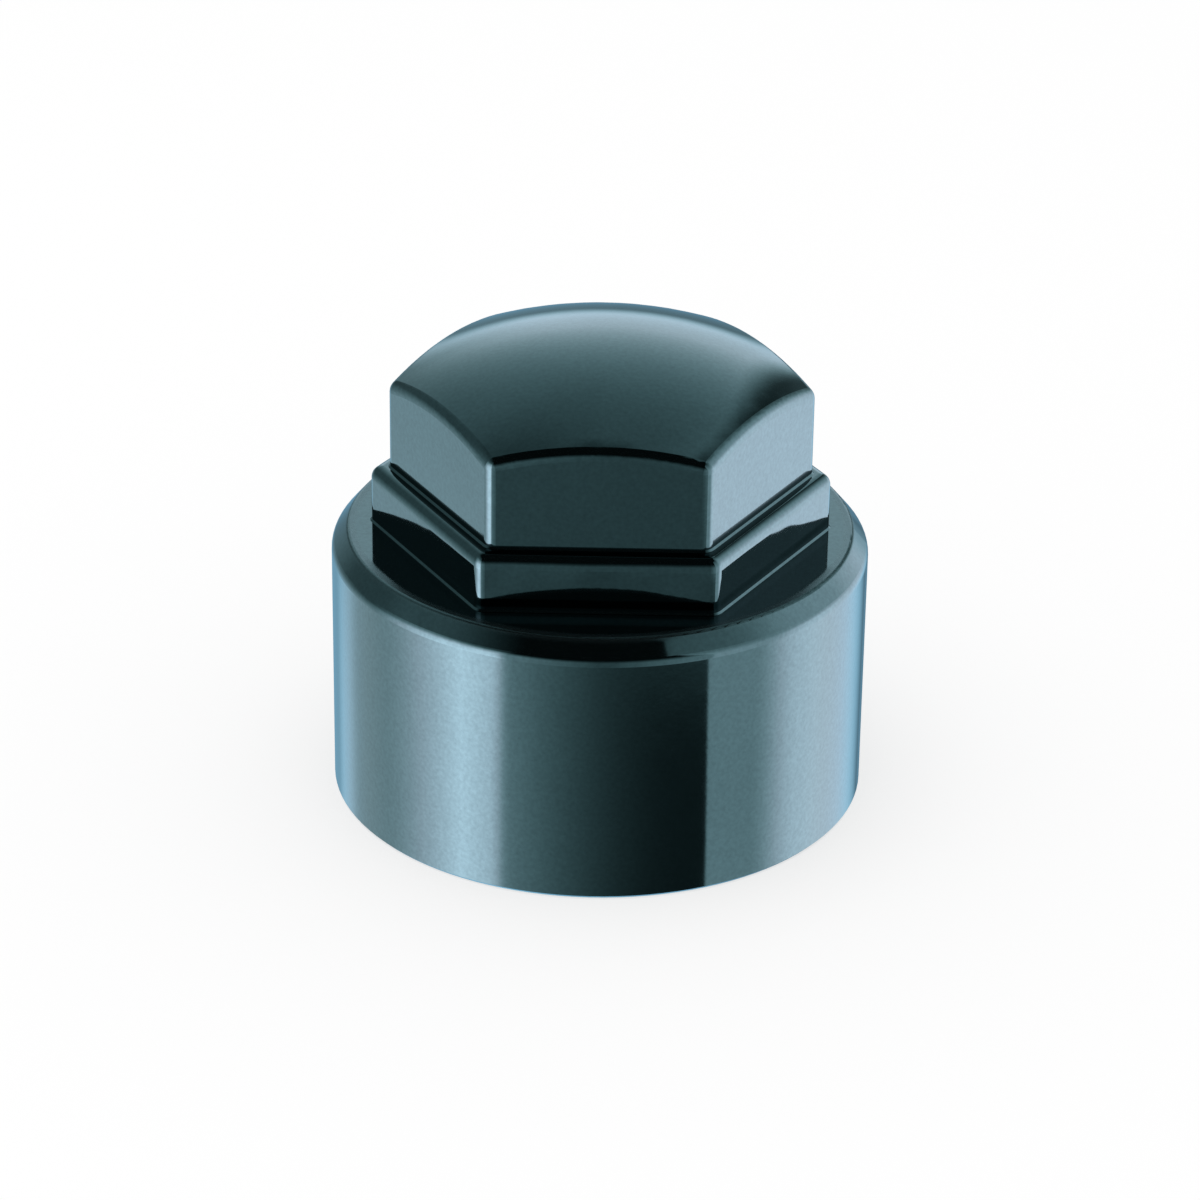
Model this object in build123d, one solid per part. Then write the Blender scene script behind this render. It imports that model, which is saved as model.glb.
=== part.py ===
from build123d import *

import os

# Wheel nut cover cap: one moulded shell that is pushed over the head of a hexagonal wheel bolt.
# Sizes are in millimetres. The origin is the middle of the mouth face, +Z runs up through the
# domed top, and both hexagons have a flat towards -Y and a corner towards +X.

# The bolt head that the cap covers, and the shell round it
BOLT_ACROSS = 17.0
SOCKET_PLAY = 0.3
WALL = 1.3

# Lower hexagon: it stands on the collar's shelf and ends in a ledge, rounded off but for a slim flat
LOWER_RISE = 2.95
LEDGE_WIDTH = 0.8
LEDGE_FLAT = 0.2

# Upper hexagon, closed by a dome
CAP_HEIGHT = 23.9
DOME_RADIUS = 22.0
UPPER_ROUNDING = 0.65

# Slim bevel that fills the inner corner at the foot of each hexagon
FOOT_BEVEL = 0.09

# Round collar with a chamfered shoulder, which stands out past the flats of the lower hexagon
COLLAR_STAND_OUT = 3.45
COLLAR_WALL = 1.5
RIM_HEIGHT = 12.9
CHAMFER_RUN = 0.8
CHAMFER_RISE = 0.95
SHOULDER_ROUNDING = 0.6
SHELF_ROUNDING = 0.25
MOUTH_BEVEL = 0.15

# Seat in the collar's mouth for the bolt's round flange
SEAT_STEP = 0.4
SEAT_DEPTH = 4.0
MOUTH_LEAD_IN = 0.3

# Spring fingers that carry the socket down inside the collar, one for each flat of the bolt
FINGER_CLEARANCE = 0.8
FINGER_LEAD_IN = 0.5
SLOT_WIDTH = 2.6

# Grip ribs, which take up the play and bite on the bolt's flats
RIB_WIDTH = 0.8
RIB_HEIGHT = 0.25
RIB_SPACING = 5.0

HEXAGON_SIDES = 6
RIBS_PER_FLAT = 2
# Pieces that are fused share this much, and cuts run out past a face by it
OVERLAP = 0.5

socket_across = BOLT_ACROSS + SOCKET_PLAY
lower_across = socket_across + 2 * WALL
upper_across = lower_across - 2 * LEDGE_WIDTH
hollow_across = upper_across - 2 * WALL
lower_rounding = LEDGE_WIDTH - LEDGE_FLAT

collar_radius = lower_across / 2 + COLLAR_STAND_OUT
shelf_height = RIM_HEIGHT + CHAMFER_RISE
shelf_radius = collar_radius - CHAMFER_RUN
shelf_underside = shelf_height - WALL
ledge_height = shelf_height + LOWER_RISE
ledge_underside = ledge_height - WALL
dome_centre = CAP_HEIGHT - DOME_RADIUS

collar_bore = collar_radius - COLLAR_WALL
seat_radius = collar_bore + SEAT_STEP
finger_end = SEAT_DEPTH + FINGER_CLEARANCE


def hexagon(across):
    """The outline, with a corner on the X axis."""
    return RegularPolygon(across / 2, HEXAGON_SIDES, major_radius=False)


def hexagonal_prism(across, bottom, top):
    """A hexagon of this width across the flats, from one height to another."""
    return Pos(0, 0, bottom) * extrude(hexagon(across), top - bottom)


def ball(radius):
    """The ball that shapes the dome, turned so that its seam and poles stay out of the dome."""
    return Pos(0, 0, dome_centre) * Rot(0, 90, 0) * Sphere(radius)


def round_space(radius, bottom, top):
    """The round space from one height to another."""
    return Pos(0, 0, bottom) * Cylinder(radius, top - bottom, align=(Align.CENTER, Align.CENTER, Align.MIN))


def grown_above(core, rounding, foot):
    """The core grown by a rounding, which rounds all its edges, and cut off square at its foot."""
    return split(offset(core, rounding, kind=Kind.ARC), Plane.XY.offset(foot), keep=Keep.TOP)


def corner_near(profile, radius, height):
    """The profile's corner at this place."""
    return profile.vertices().sort_by_distance((radius, height))[0]


def collar():
    """The round skirt, closed above by the shelf, with its chamfered shoulder."""
    profile = make_face(Polyline(
        (0, 0),
        (collar_radius, 0),
        (collar_radius, RIM_HEIGHT),
        (shelf_radius, shelf_height),
        (0, shelf_height),
        close=True,
    ))
    profile = fillet(corner_near(profile, collar_radius, RIM_HEIGHT), SHOULDER_ROUNDING)
    profile = fillet(corner_near(profile, shelf_radius, shelf_height), SHELF_ROUNDING)
    profile = chamfer(corner_near(profile, collar_radius, 0), MOUTH_BEVEL)
    return revolve(Plane.XZ * profile, Axis.Z)


def lower_hexagon():
    """The wider hexagon, rounded at its corners and along its ledge."""
    core = hexagonal_prism(lower_across - 2 * lower_rounding, 0, ledge_height - lower_rounding)
    return grown_above(core, lower_rounding, shelf_height - OVERLAP)


def upper_hexagon():
    """The narrower hexagon, closed by the dome and rounded at its corners and along the dome."""
    core = hexagonal_prism(upper_across - 2 * UPPER_ROUNDING, 0, CAP_HEIGHT)
    core &= ball(DOME_RADIUS - UPPER_ROUNDING)
    return grown_above(core, UPPER_ROUNDING, ledge_height - OVERLAP)


def set_on(base, boss):
    """The boss fused to the base, with a slim bevel in the corner between them."""
    joined = base + boss
    return chamfer(new_edges(base, boss, combined=joined), FOOT_BEVEL)


def collar_hollow():
    """The space inside the skirt, wider at the mouth, with a lead-in at its edge."""
    hollow = round_space(collar_bore, -OVERLAP, shelf_underside)
    hollow += round_space(seat_radius, -OVERLAP, SEAT_DEPTH)
    lead_in = Cone(seat_radius + MOUTH_LEAD_IN, seat_radius, MOUTH_LEAD_IN,
                   align=(Align.CENTER, Align.CENTER, Align.MIN))
    return hollow + lead_in


def socket_hollow():
    """The space for the bolt's head, which stops against the underside of the ledge."""
    return hexagonal_prism(socket_across, finger_end - OVERLAP, ledge_underside)


def head_hollow():
    """The space in the upper hexagon, under a dome of even thickness."""
    hollow = hexagonal_prism(hollow_across, ledge_underside - OVERLAP, CAP_HEIGHT)
    return hollow & ball(DOME_RADIUS - WALL)


def corner_slots():
    """One slot for each corner of the sleeve, so that its flats can spring apart."""
    reach = collar_bore
    height = shelf_underside - finger_end + OVERLAP
    slot = Box(reach, SLOT_WIDTH, height, align=(Align.MIN, Align.CENTER, Align.MIN))
    slots = PolarLocations(0, HEXAGON_SIDES) * (Pos(0, 0, finger_end - OVERLAP) * slot)
    return Part() + slots


def sleeve():
    """Six fingers that continue the lower hexagon's walls down inside the collar."""
    blank = hexagonal_prism(lower_across, finger_end, shelf_underside + OVERLAP)
    mouth = blank.faces().sort_by(Axis.Z)[0]
    outer_edge_cut = chamfer(mouth.edges(), FINGER_LEAD_IN)
    wide = Pos(0, 0, finger_end) * hexagon(socket_across + 2 * FINGER_LEAD_IN)
    narrow = Pos(0, 0, finger_end + FINGER_LEAD_IN) * hexagon(socket_across)
    return outer_edge_cut - loft([wide.face(), narrow.face()]) - corner_slots()


def grip_ribs():
    """Two slim ribs on each flat of the socket, which end in a slope towards the mouth."""
    foot = finger_end + FINGER_LEAD_IN
    outer = socket_across / 2 + OVERLAP
    inner = socket_across / 2 - RIB_HEIGHT
    side = Polyline(
        (outer, foot),
        (socket_across / 2, foot),
        (inner, foot + FINGER_LEAD_IN),
        (inner, ledge_underside + OVERLAP),
        (outer, ledge_underside + OVERLAP),
        close=True,
    )
    rib = extrude(Plane.YZ * make_face(side), RIB_WIDTH / 2, both=True)
    pair = Part() + GridLocations(RIB_SPACING, 0, RIBS_PER_FLAT, 1) * rib
    return Part() + PolarLocations(0, HEXAGON_SIDES) * pair


def cover_cap():
    """The whole moulding."""
    body = set_on(set_on(collar(), lower_hexagon()), upper_hexagon())
    body -= collar_hollow()
    body += sleeve()
    body -= socket_hollow()
    body -= head_hollow()
    return body + grip_ribs()


cap = cover_cap()
os.makedirs("parts", exist_ok=True)
export_step(cap, "parts/cover_cap.step")
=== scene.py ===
import math

import bpy
from mathutils import Matrix, Vector

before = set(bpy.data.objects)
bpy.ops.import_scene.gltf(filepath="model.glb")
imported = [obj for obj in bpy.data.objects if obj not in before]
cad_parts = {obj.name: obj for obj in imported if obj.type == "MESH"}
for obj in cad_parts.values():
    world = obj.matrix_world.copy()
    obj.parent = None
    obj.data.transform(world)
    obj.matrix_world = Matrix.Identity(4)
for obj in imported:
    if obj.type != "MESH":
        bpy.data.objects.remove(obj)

# Wheel nut cover cap on a white floor. The moulding stays as the CAD made it and gets its finish
# here; then come the floor, the studio round it, a lamp and the camera. Lengths are in metres.
MM = 0.001

# The photograph's camera: a long lens, in front and above, a touch to the right
CAMERA_DISTANCE = 230 * MM
CAMERA_TURN = math.radians(0.5)
CAMERA_ELEVATION = math.radians(26.7)
CAMERA_ROLL = math.radians(0.8)
AIM_HEIGHT = 9.55 * MM
AIM_ASIDE = 0.04 * MM
FIELD_WIDTH = 60.4 * MM
SENSOR_WIDTH = 36.0

# The moulding's own heights and widths, which part its polished outside from its satin inside.
# They run through the middle of its walls.
SHELF_WALL = 13.2 * MM
LEDGE_WALL = 16.15 * MM
COLLAR_INSIDE = 12.65 * MM
LOWER_WALL = 9.3 * MM
UPPER_WALL = 8.5 * MM
DOME_CENTRE = 1.9 * MM
DOME_WALL = 21.35 * MM
FLATS_TURN = math.radians(30)

# The tones of the finish, from dark to pale, and how much of the gloss's mottle is fine speckle
GLOSS_TONES = (0.082, 0.122, 0.129, 1), (0.144, 0.214, 0.224, 1)
SATIN_TONES = (0.100, 0.149, 0.157, 1), (0.126, 0.187, 0.196, 1)
SPECKLE_SHARE = 0.8

# Its roughness, how much that varies, and what the shelf's rounded edge has on top
GLOSS_ROUGHNESS = 0.04
GLOSS_VARIATION = 0.04
SATIN_ROUGHNESS = 0.26
SATIN_VARIATION = 0.10
SHELF_EDGE_ROUGHNESS = 0.22
SHELF_EDGE_RADIUS = 12.4 * MM
SHELF_EDGE_HEIGHT = 13.65 * MM
SHELF_EDGE_REACH = 0.32 * MM
SHELF_EDGE_FADE = 0.2 * MM

# Its relief: a grain, and faint waves on the faces between the shelf and the ledge
GRAIN_DEPTH = 0.0004 * MM
SATIN_GRAIN_DEPTH = 0.005 * MM
WAVES_FOOT = 14.3 * MM
WAVES_TOP = 16.3 * MM
WAVES_FADE = 0.5 * MM
WAVES_DEPTH = 0.08 * MM

# The studio's dark flag, whose right edge is sharp, and the height under which the table shows,
# all in degrees
FLAG_LEFT = -39.5
FLAG_LEFT_SOFTNESS = 6
FLAG_RIGHT = 48
FLAG_RIGHT_SOFTNESS = 1.4
TABLE_EDGE = -26
TABLE_EDGE_SOFTNESS = 5

# The studio's tints where it is dim, where it is bright and behind the cap
DIM_TINT = (0.655, 1.055, 1.11, 1)
BRIGHT_TINT = (0.96, 0.99, 1.12, 1)
BRIGHT_LEVEL = 1.8
BEHIND_TINT = (0.52, 1.08, 1.5, 1)
WHITE = (1, 1, 1, 1)

# The studio's darkest level, what is left of light that was mirrored twice, and the level of the
# plain light on all the rest
DARKEST = 0.01
MIRRORED_TWICE = 0.45
PLAIN_LIGHT = 0.9

# The floor lies just under the mouth, so that the two don't share a plane
FLOOR_SIZE = 8.0
FLOOR_GAP = 0.01 * MM
FLOOR_COLOUR = (0.96, 0.96, 0.96, 1)
FLOOR_WHITE_SHARE = 0.65

LAMP_SIZE = 0.5
LAMP_POWER = 0.55
LAMP_PLACE = (-0.12, -0.1, 0.5)


class Value:
    """A socket that can be used in arithmetic: each operation adds a Math node."""

    def __init__(self, tree, socket):
        self.tree = tree
        self.socket = socket

    def output(self, name):
        """Another output of the same node."""
        return Value(self.tree, self.socket.node.outputs[name])

    def math(self, operation, *others):
        """A Math node with this value first."""
        return self.tree.math(operation, self, *others)

    def __add__(self, other):
        return self.math("ADD", other)

    def __sub__(self, other):
        return self.math("SUBTRACT", other)

    def __rsub__(self, other):
        return self.tree.math("SUBTRACT", other, self)

    def __mul__(self, other):
        return self.math("MULTIPLY", other)

    def __truediv__(self, other):
        return self.math("DIVIDE", other)

    def __pow__(self, other):
        return self.math("POWER", other)

    def __lt__(self, other):
        return self.math("LESS_THAN", other)

    def __gt__(self, other):
        return self.math("GREATER_THAN", other)

    __radd__ = __add__
    __rmul__ = __mul__


class Tree:
    """The nodes of a material or of the world."""

    def __init__(self, owner):
        owner.use_nodes = True
        self.nodes = owner.node_tree.nodes
        self.links = owner.node_tree.links
        self.nodes.clear()

    def node(self, kind, settings, sockets, output=0):
        """Adds a node: its settings come first, then the values or links of its sockets."""
        made = self.nodes.new(kind)
        for name, setting in settings.items():
            setattr(made, name, setting)
        for place, value in sockets.items():
            if isinstance(value, Value):
                self.links.new(value.socket, made.inputs[place])
            else:
                made.inputs[place].default_value = value
        return Value(self, made.outputs[output]) if made.outputs else None

    def math(self, operation, *values):
        """A Math node on numbers or values."""
        return self.node("ShaderNodeMath", {"operation": operation}, dict(enumerate(values)))

    def mix(self, share, start, end):
        """A colour between two colours: the Mix node's colours are its sockets 6 and 7."""
        sockets = {0: share, 6: start, 7: end}
        return self.node("ShaderNodeMix", {"data_type": "RGBA"}, sockets, output=2)


def rise(value, middle, softness):
    """0 below a limit and 1 above it, smooth over the softness."""
    return value.tree.node("ShaderNodeMapRange", {"interpolation_type": "SMOOTHSTEP"}, {
        "Value": value,
        "From Min": middle - softness / 2,
        "From Max": middle + softness / 2,
    })


def between(value, low, high, low_softness, high_softness):
    """1 between two limits and 0 beyond them."""
    return rise(value, low, low_softness) * (1 - rise(value, high, high_softness))


def fade(value, start, end):
    """A straight change from one level to another: start and end are each a limit and its level."""
    return value.tree.node("ShaderNodeMapRange", {}, {
        "Value": value,
        "From Min": start[0],
        "From Max": end[0],
        "To Min": start[1],
        "To Max": end[1],
    })


def distance(across, up):
    """How long a line is that goes this far across and this far up."""
    return (across * across + up * up).math("SQRT")


# The studio that the gloss mirrors. Azimuths and elevations are in degrees: azimuth 0 is the
# camera's side and grows to the right, elevation 0 is the horizon, and a level of 1 is white.

def left_side(azimuth, elevation, above_table):
    """A tall screen with a small reflector, and a bright lamp, narrower close to the table."""
    screen = between(azimuth, -157, -43, low_softness=54, high_softness=8)
    screen = screen * fade(elevation, (-27, 1), (12, 0.19))
    reflector = between(azimuth, -149, -132, low_softness=12, high_softness=14)
    reflector = reflector * (1 - above_table) * 0.33
    narrow = fade(azimuth, (-104, 0), (-60.5, 1)) ** 1.6 * fade(azimuth, (-59.5, 2.3), (-31, 0.7))
    broad = rise(azimuth, -85, 48) * 2.7
    lamp = narrow * (1 - above_table) + broad * above_table
    lamp = lamp * (1 - rise(azimuth, FLAG_LEFT, FLAG_LEFT_SOFTNESS))
    lamp = lamp * fade(elevation, (6, 1), (34, 0.05))
    top = fade(azimuth, (-130, 56), (-45, 39))
    return (screen + reflector + lamp) * (1 - rise(elevation, top, 27))


def front_side(azimuth, elevation, above_table, past_flag):
    """The flag, whose left part catches light from the lamp, and the table below it."""
    table = fade(azimuth, (-38, 1), (48, 0)) ** 3 * 0.78 + 0.028
    glow = fade(azimuth, (-38, 0.86), (0, 0.22)) + fade(azimuth, (5, 0), (48, 0.5))
    lit = (table * (1 - above_table) + glow * above_table) * (1 - rise(elevation, 23, 31))
    return lit * rise(azimuth, FLAG_LEFT, FLAG_LEFT_SOFTNESS) * (1 - past_flag)


def right_side(azimuth, elevation, past_flag):
    """A screen beside the flag and a broad lamp beside the screen."""
    screen = fade(elevation, (-29, 0.88), (-19, 1.18)) * fade(elevation, (2, 1), (62, 0.05))
    lamp = rise(azimuth, 84, 29) * fade(azimuth, (108, 1.5), (136, 0.77))
    lamp = lamp * fade(elevation, (2, 1), (18, 0.31)) * fade(elevation, (-29, 1.03), (-19, 0.85))
    end = fade(elevation, (5, 151), (40, 131))
    end_softness = fade(elevation, (5, 37), (25, 49))
    top = fade(azimuth, (30, 50), (100, 70.5))
    lit = past_flag * (screen + lamp)
    return lit * (1 - rise(azimuth, end, end_softness)) * (1 - rise(elevation, top, 8))


def back_side(azimuth, elevation):
    """The backdrop, which fades from the horizon upwards and ends under a dark ceiling."""
    right_end = 163 - fade(elevation, (10, 0), (60, 1)) ** 1.5 * 25
    left_end = fade(elevation, (10, -164), (60, -145))
    left_softness = fade(elevation, (10, 24), (60, 91))
    backdrop = rise(azimuth, right_end, 6) + 1 - rise(azimuth, left_end, left_softness)
    lit = rise(elevation, 0, 9) * fade(elevation, (15, 1), (76, 0)) ** 2.4 * 1.1 + 0.22
    return backdrop * (lit * (1 - rise(elevation, 70, 5)) + 0.03)


def studio_level(azimuth, elevation):
    """How bright the studio is in each direction."""
    above_table = rise(elevation, TABLE_EDGE, TABLE_EDGE_SOFTNESS)
    lean = fade(elevation, (-30, 1.3), (-27, 0)) - fade(elevation, (8, 0), (48, 12))
    past_flag = rise(azimuth, lean + FLAG_RIGHT, FLAG_RIGHT_SOFTNESS)
    left = left_side(azimuth, elevation, above_table)
    front = front_side(azimuth, elevation, above_table, past_flag)
    right = right_side(azimuth, elevation, past_flag)
    # Light from straight below is for the views of the hollow alone
    below = fade(elevation, (-55, 0.6), (-38, 0))
    return left + front + right + back_side(azimuth, elevation) + below + DARKEST


def white_surroundings():
    """White for the camera, the studio for the gloss, and an even plain light for all the rest."""
    world = bpy.data.worlds.new("studio")
    bpy.context.scene.world = world
    tree = Tree(world)
    direction = tree.node("ShaderNodeTexCoord", {}, {}, "Generated")
    across = tree.node("ShaderNodeSeparateXYZ", {}, {0: direction}, "X")
    azimuth = across.math("ARCTAN2", across.output("Y") * -1) * math.degrees(1)
    elevation = across.output("Z").math("ARCSINE") * math.degrees(1)
    level = studio_level(azimuth, elevation)

    tint = tree.mix(fade(level, (0, 0), (BRIGHT_LEVEL, 1)), DIM_TINT, BRIGHT_TINT)
    behind = rise(azimuth.math("ABSOLUTE"), 142, 60) * fade(elevation, (-16, 1), (30, 0)) ** 3
    tint = tree.mix(behind, tint, BEHIND_TINT)

    camera_ray = tree.node("ShaderNodeLightPath", {}, {}, "Is Camera Ray")
    glossy_ray = camera_ray.output("Is Glossy Ray")
    # The lower hexagon and the shelf are nearly black where they mirror each other
    times_mirrored = camera_ray.output("Glossy Depth")
    mirrored = glossy_ray * level * fade(times_mirrored, (1, 1), (2, MIRRORED_TWICE))
    strength = camera_ray + mirrored + (1 - camera_ray - glossy_ray) * PLAIN_LIGHT
    colour = tree.mix(glossy_ray, WHITE, tint)
    background = tree.node("ShaderNodeBackground", {}, {"Color": colour, "Strength": strength})
    tree.node("ShaderNodeOutputWorld", {}, {"Surface": background})


def inside(place):
    """1 on the hollow side of the moulding and 0 on its outside."""
    x = place.tree.node("ShaderNodeSeparateXYZ", {}, {0: place}, "X")
    y = x.output("Y")
    z = x.output("Z")
    slanted = x.math("ABSOLUTE") * math.cos(FLATS_TURN) + y.math("ABSOLUTE") * math.sin(FLATS_TURN)
    from_flats = slanted.math("MAXIMUM", y.math("ABSOLUTE"))
    radius = distance(x, y)
    from_dome = distance(radius, z - DOME_CENTRE)
    in_collar = (z < SHELF_WALL) * (radius < COLLAR_INSIDE)
    in_lower = (z > SHELF_WALL) * (z < LEDGE_WALL) * (from_flats < LOWER_WALL)
    in_upper = (z > LEDGE_WALL) * (from_flats < UPPER_WALL) * (from_dome < DOME_WALL)
    return in_collar + in_lower + in_upper


def near_shelf_edge(place):
    """1 on the rounded edge of the shelf, fading out beside it."""
    x = place.tree.node("ShaderNodeSeparateXYZ", {}, {0: place}, "X")
    across = distance(x, x.output("Y")) - SHELF_EDGE_RADIUS
    up = x.output("Z") - SHELF_EDGE_HEIGHT
    return 1 - rise(distance(across, up), SHELF_EDGE_REACH, SHELF_EDGE_FADE)


def noise(place, scale, detail):
    """A cloudy pattern, finer with a larger scale."""
    sockets = {"Vector": place, "Scale": scale, "Detail": detail}
    return place.tree.node("ShaderNodeTexNoise", {}, sockets)


def petrol_finish():
    """A petrol metallic gloss with a fine grain outside, and satin inside."""
    made = bpy.data.materials.new("petrol gloss finish")
    tree = Tree(made)
    place = tree.node("ShaderNodeTexCoord", {}, {}, "Object")
    hollow = inside(place)

    cloud = noise(place, scale=220, detail=3)
    speckle = noise(place, scale=5000, detail=2)
    mottle = cloud * (1 - SPECKLE_SHARE) + speckle * SPECKLE_SHARE
    colour = tree.mix(hollow, tree.mix(mottle, *GLOSS_TONES), tree.mix(cloud, *SATIN_TONES))

    polish = noise(place, scale=900, detail=4)
    gloss = polish * GLOSS_VARIATION + GLOSS_ROUGHNESS
    gloss = gloss + near_shelf_edge(place) * SHELF_EDGE_ROUGHNESS
    satin = polish * SATIN_VARIATION + SATIN_ROUGHNESS
    roughness = gloss * (1 - hollow) + satin * hollow

    height = tree.node("ShaderNodeSeparateXYZ", {}, {0: place}, "Z")
    lower_faces = between(height, WAVES_FOOT, WAVES_TOP, WAVES_FADE, WAVES_FADE)
    waves = noise(place, scale=260, detail=1) * lower_faces * WAVES_DEPTH
    grain = noise(place, scale=4000, detail=1) * GRAIN_DEPTH
    satin_grain = noise(place, scale=6000, detail=2) * SATIN_GRAIN_DEPTH
    relief = (waves + grain) * (1 - hollow) + satin_grain * hollow
    bump = tree.node("ShaderNodeBump", {}, {"Strength": 1, "Distance": 1, "Height": relief})

    shader = tree.node("ShaderNodeBsdfPrincipled", {}, {
        "Base Color": colour,
        "Metallic": 1,
        "Roughness": roughness,
        "Normal": bump,
    })
    tree.node("ShaderNodeOutputMaterial", {}, {"Surface": shader})
    return made


def floor_finish():
    """Matt white that is part plain white for the camera, and clear from below."""
    made = bpy.data.materials.new("white floor")
    tree = Tree(made)
    matt = tree.node("ShaderNodeBsdfDiffuse", {}, {"Color": FLOOR_COLOUR})
    white = tree.node("ShaderNodeEmission", {}, {"Color": WHITE, "Strength": 1})
    camera_ray = tree.node("ShaderNodeLightPath", {}, {}, "Is Camera Ray")
    white_share = camera_ray * FLOOR_WHITE_SHARE
    from_above = tree.node("ShaderNodeMixShader", {}, {0: white_share, 1: matt, 2: white})
    underneath = tree.node("ShaderNodeNewGeometry", {}, {}, "Backfacing")
    clear = tree.node("ShaderNodeBsdfTransparent", {}, {})
    shader = tree.node("ShaderNodeMixShader", {}, {0: underneath, 1: from_above, 2: clear})
    tree.node("ShaderNodeOutputMaterial", {}, {"Surface": shader})
    return made


def white_floor():
    """The floor, which the gloss doesn't mirror: there it sees the studio."""
    half = FLOOR_SIZE / 2
    corners = [(-half, -half, 0), (half, -half, 0), (half, half, 0), (-half, half, 0)]
    mesh = bpy.data.meshes.new("floor")
    mesh.from_pydata(corners, [], [(0, 1, 2, 3)])
    mesh.materials.append(floor_finish())
    floor = bpy.data.objects.new("floor", mesh)
    floor.location.z = -FLOOR_GAP
    floor.visible_glossy = False
    bpy.context.scene.collection.objects.link(floor)


def top_light():
    """One broad soft lamp above, which gives the cap its soft shadow on the floor."""
    data = bpy.data.lights.new("top light", "AREA")
    data.size = LAMP_SIZE
    data.energy = LAMP_POWER
    lamp = bpy.data.objects.new("top light", data)
    lamp.location = LAMP_PLACE
    lamp.rotation_euler = (-lamp.location).to_track_quat("-Z", "Y").to_euler()
    lamp.visible_glossy = False
    lamp.visible_camera = False
    bpy.context.scene.collection.objects.link(lamp)


def camera():
    """The photograph's view."""
    data = bpy.data.cameras.new("camera")
    data.sensor_width = SENSOR_WIDTH
    data.lens = SENSOR_WIDTH * CAMERA_DISTANCE / FIELD_WIDTH
    data.clip_start = 0.01
    data.clip_end = 20
    level = math.cos(CAMERA_ELEVATION)
    back = Vector((
        math.sin(CAMERA_TURN) * level,
        -math.cos(CAMERA_TURN) * level,
        math.sin(CAMERA_ELEVATION),
    ))
    aim = Vector((AIM_ASIDE, 0, AIM_HEIGHT))
    turn = (-back).to_track_quat("-Z", "Y").to_matrix() @ Matrix.Rotation(CAMERA_ROLL, 3, "Z")
    viewer = bpy.data.objects.new("camera", data)
    viewer.matrix_world = Matrix.Translation(aim + back * CAMERA_DISTANCE) @ turn.to_4x4()
    bpy.context.scene.collection.objects.link(viewer)
    bpy.context.scene.camera = viewer


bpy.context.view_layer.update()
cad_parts["cover_cap"].material_slots[0].material = petrol_finish()

bpy.context.scene.view_settings.view_transform = "Standard"
white_floor()
white_surroundings()
top_light()
camera()
